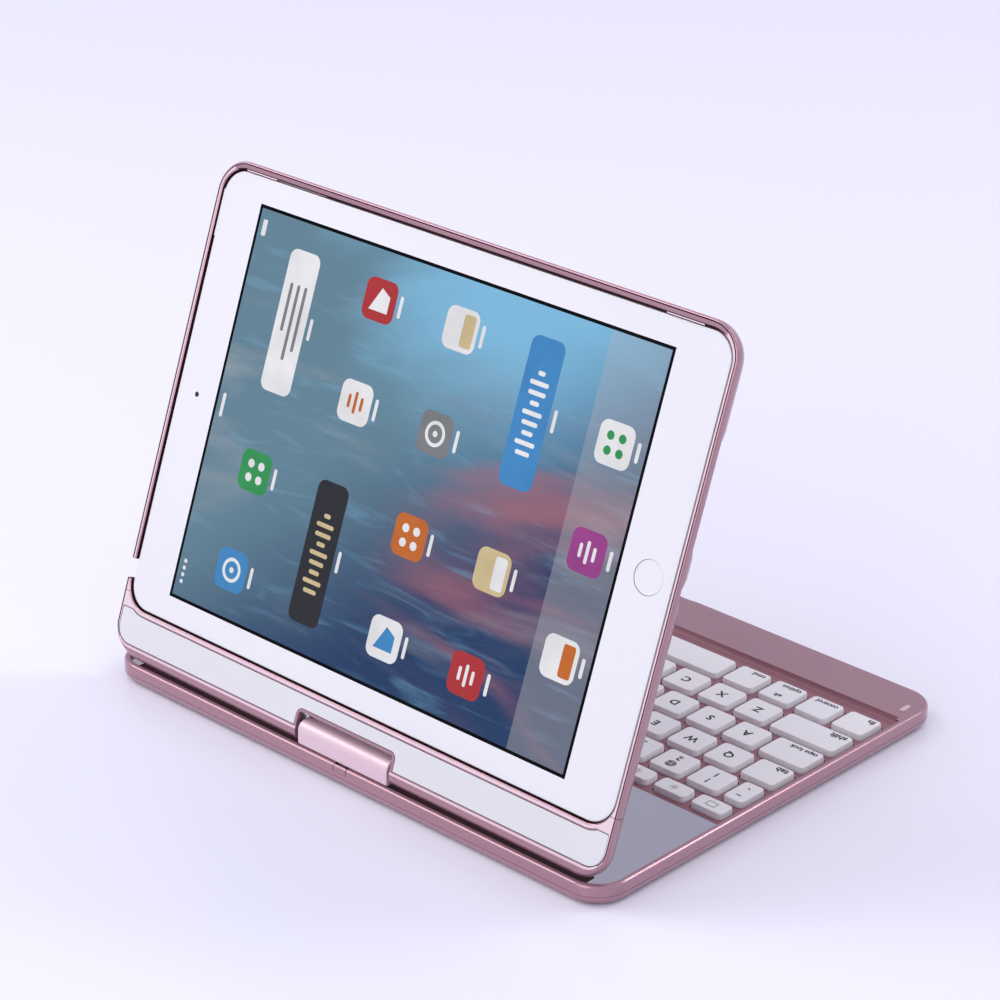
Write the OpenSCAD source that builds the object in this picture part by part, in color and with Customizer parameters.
// Swivelling keyboard case for a small tablet, standing open with its tablet.
// X runs along the hinge, +Y points to the palm rest, +Z is up, z = 0 is the table.

/* [Tablet] */
// Width of the tablet
tab_w = 240; // [216:0.5:264]
// Height of the tablet
tab_h = 169.5; // [152:0.5:187]
// Thickness of the tablet
tab_t = 6.1; // [5:0.1:6.1]
// Clearance around the tablet in its shell
tab_fit = 0.35; // [0.2:0.05:0.5]

/* [Base] */
// Height of the rim above the table
base_h = 8.2; // [7.6:0.1:10]
// Plan radius of the base corners
base_r = 13; // [10:0.5:18]
// Depth of the key deck below the rim
deck_drop = 2.2; // [1.8:0.1:2.6]
// Height of the rubber feet
foot_h = 0.5; // [0.3:0.1:1]

/* [Keys] */
// Pitch of the key rows
pitch_y = 17.16; // [16.5:0.01:17.2]
// Width of the gap between neighbouring key tops
key_gap = 3.6; // [3.2:0.1:5]
// Travel of a key
key_travel = 1.4; // [0.8:0.1:1.6]

/* [Lid] */
// Thickness of the shell's side walls
side_wall = 2.2; // [1.8:0.1:4]
// Thickness of the shell
lid_t = 9; // [8.8:0.1:9.4]
// Angle between the tablet and the table
lid_tilt = 70.8; // [20:0.1:110]
// Margin above the tablet
top_margin = 3.3; // [2.5:0.1:5]
// Distance from the tilt axis to the tablet's lower edge
strip_h = 14.9; // [13:0.1:18]
// Length of the hinge barrel
barrel_l = 44.6; // [36:0.2:50]

/* [Hidden] */
$fn = 48;

rose = [0.72, 0.54, 0.6];
pale_rose = [0.9, 0.76, 0.8];
steel = [0.75, 0.75, 0.77];
key_white = [0.93, 0.93, 0.95];
dark = [0.12, 0.1, 0.11];

cut = 1;              // how far a cutter runs past a face

// the base follows the closed lid, and the lid follows the tablet
lid_w = tab_w + 2 * (tab_fit + side_wall);
lid_top = strip_h + tab_h + top_margin;
side_play = 0.45;     // the base is this much wider than the lid on each side
top_over = 0.5;       // the closed lid reaches this much past the palm edge
pivot_in = 5.4;       // from the rear face of the base to the pivot
base_w = lid_w + 2 * side_play;
base_d = pivot_in + lid_top - top_over;
side_x = base_w / 2;
side_y = base_d / 2;

// base shell
wall = 1.4;           // side walls
floor_t = 1.2;        // bottom cover
deck_t = 1;           // key deck
plate_t = 0.4;        // grey plate
split_z = 3.9;        // where the two covers meet
edge_top = 0.9;       // round at the rim
edge_low = 3;         // round at the underside
rim_lip = 2;          // width of the rim around the recess
deck_z = base_h - deck_drop;
deck_under = deck_z - deck_t;
palm_depth = 21.9;    // palm rest, front to back
palm_y = side_y - palm_depth;
step_run = 2;         // slope between the palm rest and the deck
floor_z = foot_h + floor_t;
notch_r = 24;         // finger notch at the palm edge
notch_in = 1.5;
foot_in_x = 8.2;
foot_in_y = 14.3;
foot_x = side_x - foot_in_x;
foot_y = side_y - foot_in_y;
foot_r = 4;
low_wall = 2.5;       // wall of the bottom cover
mid_screw = 20;       // from the rear pair of screws to the one between them
screw_places = [[-foot_x, -foot_y], [foot_x, -foot_y], [-foot_x, foot_y], [foot_x, foot_y],
    [0, -foot_y + mid_screw], [0, foot_y]];
screw_r = 1.05;
head_r = 2;
head_h = 0.6;
hole_play = 0.05;
boss_r = 3;
boss_h = 0.8;
socket_y = 10;        // charging socket in the side wall
socket_w = 8;
socket_t = 0.4;
socket_d = 5.3;
socket_in = 0.6;      // set back from the side of the base
socket_play = 0.4;
switch_y = 28;        // power switch beside it
switch_w = 3;
switch_travel = 5;
switch_gap = 0.5;
switch_in = 0.1;
switch_play = 0.1;
switch_z = split_z + 0.4;
switch_t = 2.3;
magnet_in = 42;       // closing magnets, under the palm rest and in the lid strip
magnet_x = side_x - magnet_in;
magnet_half = 10;
magnet_d = 4;
magnet_y = palm_y + 5;
lens_r = 1;
lens_in = 11;
lens_x = -side_x + lens_in;
lens_y = palm_y + 9.6;
pad_h = 0.35;         // bumper pads on the palm rest
pad_w = 2;
pad_d = 5.6;
pad_in = 6.2;
pad_y = palm_y + 7.2;
palm_hollow = 4;      // from the palm edge of the deck to the hollow under the palm rest
palm_hollow_end = 8;
palm_hollow_in = 6;
tab_gap = 0.2;        // on each side of the little tab in the rear rim
rim_tab_w = 6;
rim_tab_h = 2.5;

// keys: units run from key_x towards x < 0, rows from the palm rest towards the hinge
key_units = 14;
key_side = 3.37;      // on each side of the key field
key_offset = 0.3;
pitch_x = (base_w - 2 * key_side) / key_units;
key_x = key_units * pitch_x / 2 - key_offset;
key_depth = 13.4;
function_depth = 7.4;
row_margin = 7.84;    // between the palm rest and the first row
row_y = [for (i = [0:4]) palm_y - row_margin - key_depth / 2 - i * pitch_y];
function_step = 14.56;
function_y = row_y[4] - function_step;
plate_gap = 2.8;
plate_y = function_y - function_depth / 2 - plate_gap;   // edge of the grey plate next to the keys
plate_fit = 0.4;
arrow_depth = 5.9;
arrow_shift = -(key_depth - arrow_depth) / 2;
arrow_split = (key_depth - arrow_depth) / 2;
key_r = 1.5;
cap_flare = 0.4;      // how much wider a cap's skirt is than its top
cap_top_t = 1.2;
cap_edge = 0.5;       // height of the narrower top slab
cap_wall = 0.9;
cap_sink = 0.4;       // how far the skirt stands in the deck
hole_gap = 0.35;      // between a skirt and its hole
cap_low = deck_z - cap_sink;
support_in = 7.5;     // sheets under the keys
support_half = side_x - support_in;
support_t = 0.6;
support_lift = 0.3;
support_z = floor_z + support_lift;
support_front = palm_y - 3;
support_rear = plate_y + 1;
membrane_t = 0.3;
membrane_in = 0.5;
dome_z = support_z + support_t + membrane_t;
dome_play = 0.1;
dome_h = base_h - cap_top_t - key_travel - dome_z - dome_play;   // drawn pressed flat
dome_r = 2.4;
dome_tip_r = 1.5;
cell_start = 14;      // two battery cells under the grey plate
cell_end = 15;
cell_gap = 2;
cell_w = (side_x - cell_start - cell_end - cell_gap) / 2;
cell_x = [cell_start, cell_start + cell_w + cell_gap];
cell_h = 2.6;
cell_rear = -side_y + 10.5;
cell_front = plate_y - 8;
board_t = 0.8;
board_in = 15;
board_w = 68;
board_rear = -side_y + 16.5;
board_front = plate_y - 6;

// rows as [start in key units from the x > 0 end, width in units]
function run(start, count) = [for (i = [0:count - 1]) [start + i, 1]];
fn_keys = run(0, 14);
digit_caps = run(0.69, 12);
upper_caps = concat(run(1.06, 12), [[13.06, 0.94]]);
home_caps = run(1.38, 11);
lower_caps = run(1.88, 10);
fn_unit = [0, 1];
ctrl_unit = [1, 1];
alt_unit = [2, 1];
cmd_unit = [3, 1];
space_unit = [4, 5];
cmd_r_unit = [9, 1];
alt_r_unit = [10, 1];
left_unit = [11, 1];
mid_unit = [12, 1];
right_unit = [13, 1];
shift_unit = [0, 1.88];
shift_r_unit = [11.88, 2.12];
caps_unit = [0, 1.38];
enter_unit = [12.38, 1.62];
tab_unit = [0, 1.06];
tilde_unit = [0, 0.69];
delete_unit = [12.69, 1.31];
// the full-depth keys of the five rows, from the palm rest on
row_caps = [
    [fn_unit, ctrl_unit, alt_unit, cmd_unit, space_unit, cmd_r_unit, alt_r_unit],
    concat([shift_unit, shift_r_unit], lower_caps),
    concat([caps_unit, enter_unit], home_caps),
    concat([tab_unit], upper_caps),
    concat([tilde_unit, delete_unit], digit_caps)];

// pivot and hinge
pivot_y = -side_y + pivot_in;
axis_rise = 5;
axis_z = base_h + axis_rise;
post_r = 3;
run_fit = 0.05;       // radial clearance of a turning fit
bush_r = 4.3;
bush_lift = 0.5;
bush_z = split_z + bush_lift;
stem_r = 1.6;         // threaded end of the post
shoulder_t = 0.2;
washer_t = 0.8;
washer_r = 3.6;
nut_r = 3.2;
nut_room = 4;         // pocket for both in the bottom cover's rear wall
barrel_r = 4.3;
barrel_low = 4.7;     // from the axis to the barrel's underside
low_r = 1;            // round at its lower edges
pin_r = 2;
pin_in = 10;          // inner end of a tilt pin
post_short = 1.7;
post_top = axis_z - post_short;
barrel_play = 1.3;
notch_half = barrel_l / 2 + barrel_play;
notch_top = 6.5;
notch_r_top = 1.6;

bracket_t = 5.2;
bracket_gap = 0.4;
bracket_end = 11;     // from the bracket's outer end to the magnet
bracket_out = magnet_x - magnet_half - bracket_end;
bracket_v = 11;
screw_in = 6;         // from the bracket's outer end to its first screw
screw_pitch = 12;
strip_screw_x = [bracket_out - screw_in - screw_pitch, bracket_out - screw_in];
strip_screw_v = 7;
pin_end = 14;
pin_out = bracket_out - pin_end;
strip_screw_r = 1;

// lid, in its own frame: x along the hinge, y up the screen, z out of the screen
lid_front = lid_t / 2;
lid_back = -lid_t / 2;
lid_r = 13;
lid_edge = 8;         // round at the back of the shell
lid_mid = (lid_top + lid_back) / 2;
glass_drop = 0.9;
glass_z = lid_front - glass_drop;
pocket_z = glass_z - tab_t - run_fit;
tab_r = 10;
tab_edge = 4;         // round at the back of the tablet
tab_mid = strip_h + tab_h / 2;
split_gap = 0.4;
split_v = strip_h - split_gap;   // where the strip frame meets the shell
ear_h = 5.1;
seam_v = strip_h + ear_h;
inlay_t = 0.6;
inlay_low = 1;
inlay_gap = 2.5;      // from the tablet's edge to the inlay
inlay_high = strip_h - 1;
inlay_border = 1.35;
inlay_half = lid_w / 2 - inlay_border;
inlay_r = 6.5;
jack_low = strip_h + 9.7;   // gap in the wall for the headphone socket
jack_high = strip_h + 17.5;
plug_v = [strip_h + 78, strip_h + 88];      // openings in the rear of the other wall:
speaker_v = [strip_h + 95, strip_h + 138];  // the tablet's socket and speaker
plug_w = 2.2;
speaker_w = 1.5;
slot_ramp = 3;
slot_z = [-0.6, 3];         // openings for the tablet's buttons
cam_hole_r = 6;
key_reach = 9;        // half the opening for the sleep button
rocker_reach = 15;
magnet_low = 2.5;
magnet_tall = 7;
magnet_room = 0.5;

// tablet
glass_t = 0.7;
shell_t = 0.8;        // tablet housing wall
border_x = 21.55;     // mean border beside the display
border_y = 9.8;
display_w = tab_w - 2 * border_x;
display_h = tab_h - 2 * border_y;
display_x = -1.5;
display_t = 1.58;
display_z = glass_z - 0.02;
home_in = 10.7;
home_x = tab_w / 2 - home_in;
home_r = 6;
home_drop = 0.1;
front_cam_in = 10.3;
front_cam_x = -tab_w / 2 + front_cam_in;
front_cam_r = 1;
rear_cam_in = 12;
rear_cam = [-tab_w / 2 + rear_cam_in, tab_h / 2 - rear_cam_in];
rear_cam_r = 3;
rear_cam_t = 1.6;
button_out = 0.3;
button_z = [0.2, 2.2];
button_play = 0.05;
sleep_in = 18;
sleep_y = tab_h / 2 - sleep_in;
sleep_half = 5;
volume_in = 34;
volume_x = -tab_w / 2 + volume_in;
volume_half = 10;
pack_in_x = 40;       // battery inside the tablet
pack_in_y = 24.75;

// ---- shared shapes ----

// rectangle with round corners, centred
module rrect(w, d, r) {
    square([w, d - 2 * r], center = true);
    square([w - 2 * r, d], center = true);
    for (x = [-1, 1], y = [-1, 1]) translate([x * (w / 2 - r), y * (d / 2 - r)]) circle(r);
}

module slab(w, d, r, z0, z1) {
    translate([0, 0, z0]) linear_extrude(z1 - z0) rrect(w, d, r);
}

// slab whose edge follows children(), a 2D outline with x from 0 at the corner centre out to r
module edged_slab(w, d, r, z0, z1) {
    core_x = w / 2 - r;
    core_y = d / 2 - r;
    translate([-core_x, -core_y, z0]) cube([2 * core_x, 2 * core_y, z1 - z0]);
    for (s = [-1, 1]) {
        mirror([s < 0 ? 1 : 0, 0, 0]) translate([core_x, core_y, 0])
            rotate([90, 0, 0]) linear_extrude(2 * core_y) children();
        mirror([0, s < 0 ? 1 : 0, 0]) translate([-core_x, core_y, 0])
            rotate([90, 0, 90]) linear_extrude(2 * core_x) children();
    }
    for (i = [0:3]) {
        sx = i == 0 || i == 3 ? 1 : -1;
        sy = i < 2 ? 1 : -1;
        translate([sx * core_x, sy * core_y, 0]) rotate([0, 0, 90 * i])
            rotate_extrude(angle = 90, $fn = 96) children();
    }
}

// edge outline of width r from z0 to z1 with one quarter round
module edge_low_round(r, z0, z1, e) {
    translate([0, z0 + e]) square([r, z1 - z0 - e]);
    translate([0, z0]) square([r - e, z1 - z0]);
    intersection() {
        translate([r - e, z0 + e]) circle(e);
        translate([0, z0]) square([r, e]);
    }
}

module edge_high_round(r, z0, z1, e) {
    translate([0, z0]) square([r, z1 - z0 - e]);
    translate([0, z0]) square([r - e, z1 - z0]);
    intersection() {
        translate([r - e, z1 - e]) circle(e);
        translate([0, z1 - e]) square([r, e]);
    }
}

module in_lid() {
    translate([0, pivot_y, axis_z]) rotate([lid_tilt, 0, 0]) children();
}

// a box in the lid's frame from its corner values
module box(x0, x1, y0, y1, z0, z1) {
    translate([x0, y0, z0]) cube([x1 - x0, y1 - y0, z1 - z0]);
}

function unit_x(u) = key_x - (u[0] + u[1] / 2) * pitch_x;
function unit_w(u) = u[1] * pitch_x - key_gap;

module key_hole(u, y, depth) {
    grow = 2 * (cap_flare + hole_gap);
    translate([unit_x(u), y]) rrect(unit_w(u) + grow, depth + grow, key_r + cap_flare + hole_gap);
}

// one hollow cap: a skirt, a narrower top, and room for the dome below
module key_cap(u, y, depth = key_depth) {
    w = unit_w(u);
    color(key_white) translate([unit_x(u), y, 0]) difference() {
        union() {
            slab(w + 2 * cap_flare, depth + 2 * cap_flare, key_r + cap_flare,
                cap_low, base_h - cap_edge);
            slab(w, depth, key_r, base_h - cap_edge, base_h);
        }
        inner_w = w + 2 * cap_flare - 2 * cap_wall;
        inner_d = depth + 2 * cap_flare - 2 * cap_wall;
        translate([-inner_w / 2, -inner_d / 2, cap_low - cut])
            cube([inner_w, inner_d, base_h - cap_top_t - cap_low + cut]);
    }
}

module key_row(units, y, depth = key_depth) {
    for (u = units) key_cap(u, y, depth);
}

// the outlines of all the holes in the deck
module all_key_holes() {
    for (u = fn_keys) key_hole(u, function_y, function_depth);
    for (i = [0:4]) for (u = row_caps[i]) key_hole(u, row_y[i], key_depth);
    for (u = [left_unit, right_unit]) key_hole(u, row_y[0] - arrow_shift, arrow_depth);
    key_hole(mid_unit, row_y[0], key_depth);
}

// ---- base ----

module base_top_deck() {
    color(rose) difference() {
        edged_slab(base_w, base_d, base_r, split_z, base_h)
            edge_high_round(base_r, split_z, base_h, edge_top);
        // recess for the plate and the keys
        translate([0, 0, deck_z]) linear_extrude(deck_drop + cut) recess(0, palm_y - step_run);
        // slope up to the palm rest
        translate([-side_x + 2 * rim_lip, 0, 0]) rotate([90, 0, 90])
            linear_extrude(base_w - 4 * rim_lip)
            polygon([[palm_y - step_run - cut, deck_z], [palm_y - step_run, deck_z],
                [palm_y, base_h], [palm_y, base_h + cut], [palm_y - step_run - cut, base_h + cut]]);
        // hollow below
        slab(base_w - 2 * wall, base_d - 2 * wall, base_r - wall, split_z - cut, deck_under);
        box(palm_hollow_in - side_x, side_x - palm_hollow_in, palm_y + palm_hollow,
            side_y - palm_hollow_end, deck_under - cut, base_h - deck_t);
        translate([0, 0, deck_under - cut]) linear_extrude(deck_t + 2 * cut) all_key_holes();
        // pocket for the grey plate and the hole for the pivot bushing
        translate([0, 0, deck_z - plate_t]) linear_extrude(cut) recess(plate_fit, plate_y);
        translate([0, pivot_y, split_z - cut]) cylinder(h = base_h, r = bush_r);
        // gap for the tab in the rear rim
        box(-rim_tab_w / 2 - tab_gap, rim_tab_w / 2 + tab_gap, -side_y - cut, -side_y + 2 * rim_lip,
            base_h - rim_tab_h - 2 * run_fit, base_h + cut);
        // finger notch in the palm edge
        translate([0, side_y + notch_r - notch_in, split_z]) cylinder(h = base_h, r = notch_r);
        // slot of the power switch, and the indicator's hole
        box(-side_x - cut, -side_x + switch_in + switch_t + switch_gap, switch_y - switch_gap,
            switch_y + switch_w + switch_travel + switch_gap,
            switch_z - switch_play, deck_under + switch_play);
        translate([lens_x, lens_y, base_h - deck_t - cut]) cylinder(h = deck_t + 2 * cut, r = lens_r);
    }
}

// the area inside the rim, up to y_end
module recess(inset, y_end) {
    intersection() {
        rrect(base_w - 2 * (rim_lip + inset), base_d - 2 * (rim_lip + inset),
            base_r - rim_lip - inset);
        translate([-side_x, -side_y]) square([base_w, side_y + y_end]);
    }
}

module base_bottom_cover() {
    color(rose) difference() {
        edged_slab(base_w, base_d, base_r, foot_h, split_z)
            edge_low_round(base_r, foot_h, split_z, edge_low);
        slab(base_w - 2 * low_wall, base_d - 2 * low_wall, base_r - low_wall, floor_z, split_z + cut);
        box(-side_x - cut, -side_x + socket_in + socket_d, socket_y - socket_play,
            socket_y + socket_w + socket_play, support_z, split_z + cut);
        translate([0, pivot_y, floor_z]) cylinder(h = base_h, r = nut_room);
        translate([0, side_y + notch_r - notch_in, foot_h - cut]) cylinder(h = base_h, r = notch_r);
        for (p = screw_places) translate([p[0], p[1], foot_h - cut]) {
            cylinder(h = floor_t + 2 * cut, r = screw_r + hole_play);
            cylinder(h = cut + head_h + 2 * hole_play, r = head_r + 2 * hole_play);
        }
    }
    color(rose) for (p = screw_places) translate([p[0], p[1], floor_z]) difference() {
        cylinder(h = boss_h, r = boss_r);
        translate([0, 0, -cut]) cylinder(h = boss_h + 2 * cut, r = screw_r + hole_play);
    }
}

module rear_trim_plate() {
    color([0.6, 0.6, 0.64]) difference() {
        translate([0, 0, deck_z - plate_t]) linear_extrude(plate_t)
            recess(plate_fit + hole_play, plate_y - hole_play);
        translate([0, pivot_y, deck_z - cut]) cylinder(h = 2 * cut, r = bush_r + 2 * hole_play);
    }
}

module keyboard_support_plate() {
    color(steel) box(-support_half, support_half, support_rear, support_front,
        support_z, support_z + support_t);
}

module membrane_sheet() {
    color([0.7, 0.75, 0.7]) box(membrane_in - support_half, support_half - membrane_in,
        support_rear + membrane_in, support_front - membrane_in, support_z + support_t, dome_z);
}

module rubber_dome(u, y) {
    translate([unit_x(u), y, dome_z]) {
        cylinder(h = dome_h / 2, r = dome_r);
        cylinder(h = dome_h, r = dome_tip_r);
    }
}

module rubber_domes() {
    color([0.8, 0.8, 0.82]) {
        for (u = fn_keys) rubber_dome(u, function_y);
        for (i = [0:4]) for (u = row_caps[i]) rubber_dome(u, row_y[i]);
        for (u = [left_unit, right_unit]) rubber_dome(u, row_y[0] - arrow_shift);
        for (s = [-1, 1]) rubber_dome(mid_unit, row_y[0] + s * arrow_split);
    }
}

module battery_pack() {
    color([0.3, 0.3, 0.33]) for (x = cell_x)
        box(x, x + cell_w, cell_rear, cell_front, floor_z, floor_z + cell_h);
}

module circuit_board() {
    color([0.1, 0.35, 0.2]) box(board_in - side_x, board_in + board_w - side_x,
        board_rear, board_front, support_z, support_z + board_t);
}

module usb_charging_port() {
    color(steel) difference() {
        box(socket_in - side_x, socket_in + socket_d - side_x, socket_y, socket_y + socket_w,
            support_z, split_z - hole_play);
        box(-side_x - cut, socket_d - side_x, socket_y + socket_t, socket_y + socket_w - socket_t,
            support_z + socket_t, split_z - hole_play - socket_t);
    }
}

module indicator_lens() {
    color([0.85, 0.95, 0.85]) translate([lens_x, lens_y, base_h - deck_t])
        cylinder(h = deck_t - hole_play, r = lens_r);
}

module rubber_feet() {
    color(dark) for (x = [-foot_x, foot_x], y = [-foot_y, foot_y]) translate([x, y, 0])
        cylinder(h = foot_h, r = foot_r);
}

module bumper_pads() {
    color([0.9, 0.8, 0.82]) for (s = [-1, 1])
        translate([s * (side_x - pad_in), pad_y, base_h])
        linear_extrude(pad_h) rrect(pad_w, pad_d, 0.45 * pad_w);
}

module base_screws() {
    color(steel) for (p = screw_places) translate([p[0], p[1], foot_h + hole_play]) {
        cylinder(h = head_h, r = head_r);
        cylinder(h = floor_t + boss_h, r = screw_r);
    }
}

module closing_magnets() {
    color(steel) for (x = [-magnet_x, magnet_x])
        box(x - magnet_half, x + magnet_half, magnet_y, magnet_y + magnet_d,
            split_z + 0.3, base_h - deck_t);
}

module pivot_bushing() {
    color(steel) translate([0, pivot_y, 0]) difference() {
        translate([0, 0, bush_z]) cylinder(h = base_h - bush_z, r = bush_r);
        cylinder(h = base_h + cut, r = post_r + run_fit);
    }
}

module rear_rim_tab() {
    color(rose) box(-rim_tab_w / 2, rim_tab_w / 2, -side_y, pivot_y - bush_r,
        base_h - rim_tab_h, base_h - 2 * run_fit);
}

module power_switch() {
    color(dark) box(switch_in - side_x, switch_in + switch_t - side_x, switch_y,
        switch_y + switch_w, switch_z, deck_under);
}

// ---- hinge ----

module hinge_barrel() {
    color(pale_rose) translate([0, pivot_y, axis_z]) difference() {
        translate([-barrel_l / 2, 0, 0]) rotate([90, 0, 90]) linear_extrude(barrel_l) union() {
            circle(barrel_r);
            translate([-barrel_r, low_r - barrel_low]) square([2 * barrel_r, barrel_low - low_r]);
            translate([low_r - barrel_r, -barrel_low]) square([2 * (barrel_r - low_r), barrel_low]);
            for (s = [-1, 1]) translate([s * (barrel_r - low_r), low_r - barrel_low]) circle(low_r);
        }
        for (s = [-1, 1]) rotate([0, s * 90, 0]) translate([0, 0, pin_in - cut])
            cylinder(h = barrel_l, r = pin_r + run_fit);
        translate([0, 0, -barrel_low - cut])
            cylinder(h = barrel_low + cut - post_short, r = post_r);
    }
}

module swivel_post() {
    color(steel) translate([0, pivot_y, 0]) {
        translate([0, 0, support_z]) cylinder(h = bush_z - support_z, r = stem_r);
        translate([0, 0, bush_z - shoulder_t])
            cylinder(h = post_top - bush_z + shoulder_t, r = post_r);
    }
}

module spring_washers() {
    color([0.55, 0.55, 0.58]) translate([0, pivot_y, bush_z - shoulder_t - washer_t]) difference() {
        cylinder(h = washer_t, r = washer_r);
        translate([0, 0, -cut]) cylinder(h = washer_t + 2 * cut, r = stem_r);
    }
}

module swivel_nut() {
    color(steel) translate([0, pivot_y, support_z]) difference() {
        cylinder(h = bush_z - shoulder_t - washer_t - support_z, r = nut_r, $fn = 6);
        translate([0, 0, -cut]) cylinder(h = bush_z, r = stem_r);
    }
}

// ---- lid ----

// outside of the closed shell, bottom strip included
module lid_body() {
    intersection() {
        translate([0, lid_mid, 0]) edged_slab(lid_w, lid_top - lid_back, lid_r, lid_back, lid_front)
            edge_low_round(lid_r, lid_back, lid_front, lid_edge);
        translate([-lid_w, 0, 0]) rotate([90, 0, 90]) linear_extrude(2 * lid_w) union() {
            circle(lid_t / 2);
            translate([0, lid_back]) square([lid_top + cut, lid_t]);
        }
    }
}

module tablet_pocket() {
    translate([0, tab_mid, 0])
        edged_slab(tab_w + 2 * tab_fit, tab_h + 2 * tab_fit, tab_r + tab_fit, pocket_z,
            lid_front + cut) edge_low_round(tab_r + tab_fit, pocket_z, lid_front + cut, tab_edge);
}

// the half of the lid that the strip frame takes
module strip_zone(gap) {
    box(-lid_w, lid_w, -lid_t, split_v - gap, -lid_t, lid_t);
    for (s = [-1, 1]) mirror([s < 0 ? 1 : 0, 0, 0])
        box(tab_w / 2 - 1, lid_w, 0, seam_v - gap, pocket_z, lid_t);
}

module tablet_shell() {
    color(rose) in_lid() difference() {
        lid_body();
        tablet_pocket();
        strip_zone(-0.05);
        // headphone gap, sleep button and volume button
        box(-lid_w, cut - tab_w / 2, jack_low, jack_high, pocket_z, lid_front + cut);
        box(-lid_w, cut - tab_w / 2, tab_mid + sleep_y - key_reach, tab_mid + sleep_y + key_reach,
            slot_z[0], slot_z[1]);
        box(volume_x - rocker_reach, volume_x + rocker_reach, lid_top - top_margin - 2 * cut,
            lid_top + cut, slot_z[0], slot_z[1]);
        side_opening(plug_v, plug_w);
        side_opening(speaker_v, speaker_w);
        translate([rear_cam[0], tab_mid + rear_cam[1], lid_back - cut])
            cylinder(h = lid_t, r = cam_hole_r);
    }
}

// opening in the rear half of the wall, with sloping ends
module side_opening(v, w) {
    translate([tab_w / 2 - tab_edge / 2, 0, 0]) rotate([90, 0, 90]) linear_extrude(lid_w)
        polygon([[v[0], lid_back - cut], [v[1], lid_back - cut], [v[1], 0],
            [v[1] - slot_ramp, w], [v[0] + slot_ramp, w], [v[0], 0]]);
}

module hinge_strip_frame() {
    color(rose) in_lid() difference() {
        intersection() {
            lid_body();
            strip_zone(0);
        }
        tablet_pocket();
        translate([0, 0, -lid_t]) linear_extrude(2 * lid_t) barrel_notch(0);
        translate([0, 0, lid_front - inlay_t]) linear_extrude(inlay_t + cut) inlay_outline(0.05);
        // pockets for the brackets, the pins and the magnets
        for (s = [-1, 1]) mirror([s < 0 ? 1 : 0, 0, 0]) {
            box(notch_half - cut, bracket_out, -bracket_t / 2, bracket_v,
                -bracket_t / 2, bracket_t / 2);
            box(magnet_x - magnet_half - magnet_room, magnet_x + magnet_half + magnet_room,
                magnet_low - magnet_room, magnet_low + magnet_tall + magnet_room,
                -magnet_d / 2, magnet_d / 2);
        }
    }
}

// gap for the barrel, open downwards
module barrel_notch(grow) {
    half = notch_half + grow;
    high = notch_top + grow;
    r = notch_r_top + grow;
    translate([-half, -lid_t]) square([2 * half, high + lid_t - r]);
    translate([r - half, -lid_t]) square([2 * (half - r), high + lid_t]);
    for (s = [-1, 1]) translate([s * (half - r), high - r]) circle(r);
}

// shape of the glossy inlay between the tablet and the notch; grow widens the pocket that holds it
module inlay_outline(grow) {
    difference() {
        union() {
            r = inlay_r + grow;
            w = 2 * (inlay_half + grow);
            tall = inlay_high - inlay_low + 2 * grow;
            translate([-w / 2, inlay_low - grow + r]) square([w, tall - r]);
            translate([r - w / 2, inlay_low - grow]) square([w - 2 * r, r]);
            for (s = [-1, 1]) translate([s * (w / 2 - r), inlay_low - grow + r]) circle(r);
        }
        translate([0, tab_mid])
            rrect(tab_w + 2 * (inlay_gap - grow), tab_h + 2 * (inlay_gap - grow),
                tab_r + inlay_gap - grow);
        barrel_notch(inlay_border - grow);
    }
}

module strip_inlay() {
    color([0.92, 0.92, 0.95]) in_lid() translate([0, 0, lid_front - inlay_t])
        linear_extrude(inlay_t - hole_play) inlay_outline(0);
}

module hinge_brackets() {
    color(steel) in_lid() for (s = [-1, 1]) mirror([s < 0 ? 1 : 0, 0, 0]) difference() {
        box(notch_half + bracket_gap, bracket_out, -bracket_t / 2, bracket_v,
            -bracket_t / 2, bracket_t / 2);
        rotate([0, 90, 0]) cylinder(h = pin_out, r = pin_r);
        for (x = strip_screw_x) translate([x, strip_screw_v, -lid_t])
            cylinder(h = 2 * lid_t, r = strip_screw_r);
    }
}

module tilt_pins() {
    color(steel) in_lid() for (s = [-1, 1]) rotate([0, s * 90, 0]) translate([0, 0, pin_in])
        cylinder(h = pin_out - pin_in, r = pin_r);
}

module strip_screws() {
    color(dark) in_lid() for (s = [-1, 1], x = strip_screw_x)
        translate([s * x, strip_screw_v, hole_play - bracket_t / 2])
        cylinder(h = bracket_t - 2 * hole_play, r = strip_screw_r);
}

module lid_magnets() {
    color(steel) in_lid() for (s = [-1, 1]) mirror([s < 0 ? 1 : 0, 0, 0])
        box(magnet_x - magnet_half, magnet_x + magnet_half, magnet_low, magnet_low + magnet_tall,
            -magnet_d / 2, magnet_d / 2);
}

// ---- tablet ----

module in_tablet() {
    in_lid() translate([0, tab_mid, 0]) children();
}

module tablet_housing() {
    color(steel) in_tablet() difference() {
        edged_slab(tab_w, tab_h, tab_r, glass_z - tab_t, glass_z - home_drop)
            edge_low_round(tab_r, glass_z - tab_t, glass_z - home_drop, tab_edge);
        edged_slab(tab_w - 2 * shell_t, tab_h - 2 * shell_t, tab_r - shell_t,
            glass_z - tab_t + shell_t, glass_z + cut)
            edge_low_round(tab_r - shell_t, glass_z - tab_t + shell_t, glass_z + cut,
                tab_edge - shell_t);
        translate([rear_cam[0], rear_cam[1], glass_z - tab_t - cut])
            cylinder(h = shell_t + 2 * cut, r = rear_cam_r);
        box(-tab_w, 2 * shell_t - tab_w / 2, sleep_y - sleep_half - button_play,
            sleep_y + sleep_half + button_play, button_z[0] - button_play,
            button_z[1] + button_play);
        box(volume_x - volume_half - button_play, volume_x + volume_half + button_play,
            tab_h / 2 - 2 * shell_t, tab_h, button_z[0] - button_play,
            button_z[1] + button_play);
    }
}

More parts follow.
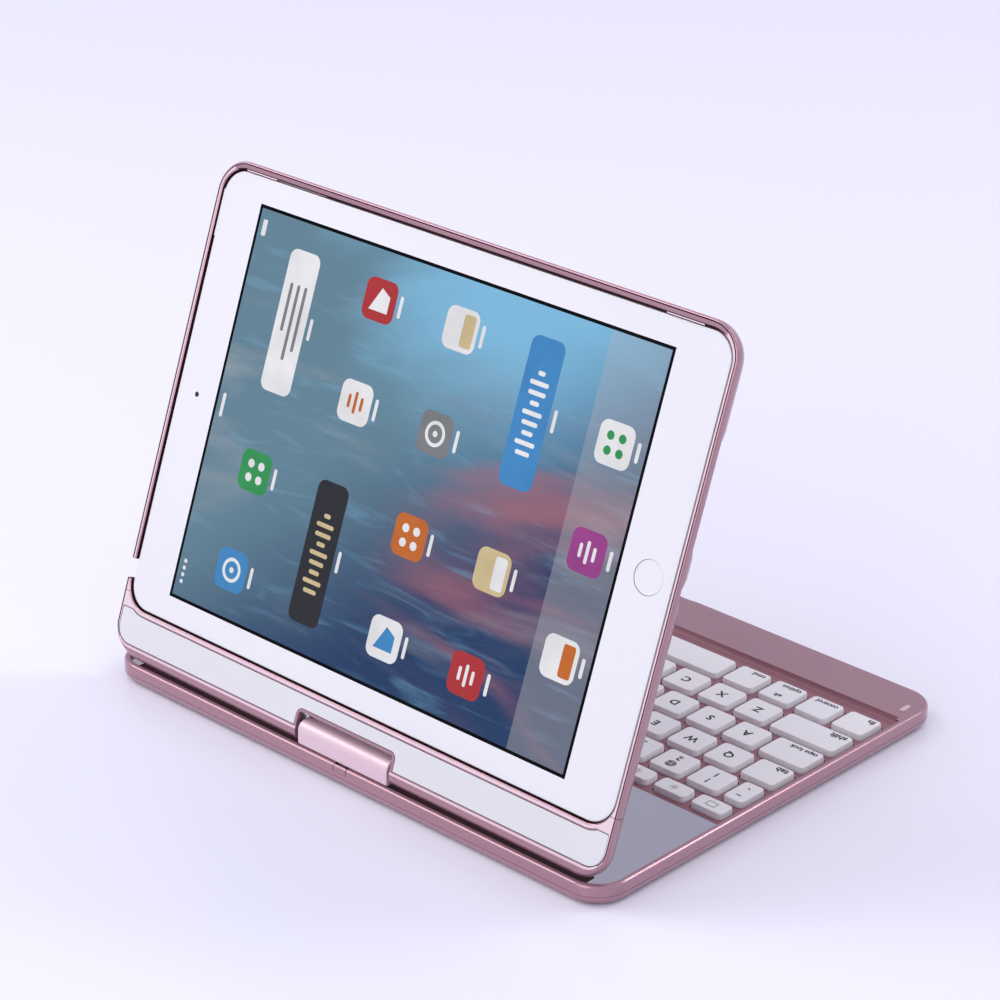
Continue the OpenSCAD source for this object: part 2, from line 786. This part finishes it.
module tablet_glass() {
    color([0.95, 0.95, 0.97]) in_tablet() difference() {
        slab(tab_w - 2 * shell_t, tab_h - 2 * shell_t, tab_r - shell_t, glass_z - glass_t, glass_z);
        box(display_x - display_w / 2, display_x + display_w / 2, -display_h / 2, display_h / 2,
            glass_z - 2 * cut, glass_z + cut);
        translate([home_x, 0, glass_z - 2 * cut]) cylinder(h = 3 * cut, r = home_r + home_drop);
        translate([front_cam_x, 0, glass_z - 2 * cut]) cylinder(h = 3 * cut, r = front_cam_r);
    }
}

module tablet_display() {
    color([0.2, 0.3, 0.5]) in_tablet()
        box(display_x - display_w / 2, display_x + display_w / 2, -display_h / 2, display_h / 2,
            display_z - display_t, display_z);
}

module tablet_battery() {
    color(dark) in_tablet() box(pack_in_x - tab_w / 2, tab_w / 2 - pack_in_x,
        pack_in_y - tab_h / 2, tab_h / 2 - pack_in_y,
        glass_z - tab_t + shell_t, display_z - display_t - hole_play);
}

module camera_lenses() {
    color(dark) in_tablet() {
        translate([front_cam_x, 0, glass_z - glass_t]) cylinder(h = glass_t, r = front_cam_r);
        translate([rear_cam[0], rear_cam[1], glass_z - tab_t])
            cylinder(h = rear_cam_t, r = rear_cam_r);
    }
}

module home_button() {
    color([0.95, 0.95, 0.97]) in_tablet() translate([home_x, 0, glass_z - glass_t])
        cylinder(h = glass_t - home_drop, r = home_r);
}

module sleep_button() {
    color(steel) in_tablet() box(-tab_w / 2 - button_out, shell_t - tab_w / 2,
        sleep_y - sleep_half, sleep_y + sleep_half, button_z[0], button_z[1]);
}

module volume_button() {
    color(steel) in_tablet() box(volume_x - volume_half, volume_x + volume_half,
        tab_h / 2 - shell_t, tab_h / 2 + button_out, button_z[0], button_z[1]);
}

// ---- keys ----

module key_fn() key_cap(fn_unit, row_y[0]);
module key_ctrl() key_cap(ctrl_unit, row_y[0]);
module key_alt() key_cap(alt_unit, row_y[0]);
module key_cmd() key_cap(cmd_unit, row_y[0]);
module key_space() key_cap(space_unit, row_y[0]);
module key_cmd_right() key_cap(cmd_r_unit, row_y[0]);
module key_alt_right() key_cap(alt_r_unit, row_y[0]);
module key_arrow_left() key_cap(left_unit, row_y[0] - arrow_shift, arrow_depth);
module key_arrow_right() key_cap(right_unit, row_y[0] - arrow_shift, arrow_depth);
module key_arrow_down() key_cap(mid_unit, row_y[0] + arrow_split, arrow_depth);
module key_arrow_up() key_cap(mid_unit, row_y[0] - arrow_split, arrow_depth);
module key_shift() key_cap(shift_unit, row_y[1]);
module key_shift_right() key_cap(shift_r_unit, row_y[1]);
module key_caps() key_cap(caps_unit, row_y[2]);
module key_enter() key_cap(enter_unit, row_y[2]);
module key_tab() key_cap(tab_unit, row_y[3]);
module key_tilde() key_cap(tilde_unit, row_y[4]);
module key_delete() key_cap(delete_unit, row_y[4]);
module letter_keys_lower() key_row(lower_caps, row_y[1]);
module letter_keys_home() key_row(home_caps, row_y[2]);
module letter_keys_upper() key_row(upper_caps, row_y[3]);
module digit_keys() key_row(digit_caps, row_y[4]);
module function_keys() key_row(fn_keys, function_y, function_depth);

base_top_deck();
base_bottom_cover();
rear_trim_plate();
keyboard_support_plate();
membrane_sheet();
rubber_domes();
battery_pack();
circuit_board();
usb_charging_port();
indicator_lens();
rubber_feet();
bumper_pads();
base_screws();
closing_magnets();
pivot_bushing();
rear_rim_tab();
power_switch();
hinge_barrel();
swivel_post();
spring_washers();
swivel_nut();
tilt_pins();
tablet_shell();
hinge_strip_frame();
strip_inlay();
hinge_brackets();
strip_screws();
lid_magnets();
tablet_housing();
tablet_glass();
tablet_display();
tablet_battery();
camera_lenses();
home_button();
sleep_button();
volume_button();
key_fn();
key_ctrl();
key_alt();
key_cmd();
key_space();
key_cmd_right();
key_alt_right();
key_arrow_left();
key_arrow_up();
key_arrow_down();
key_arrow_right();
key_shift();
key_shift_right();
key_caps();
key_enter();
key_tab();
key_tilde();
key_delete();
letter_keys_lower();
letter_keys_home();
letter_keys_upper();
digit_keys();
function_keys();
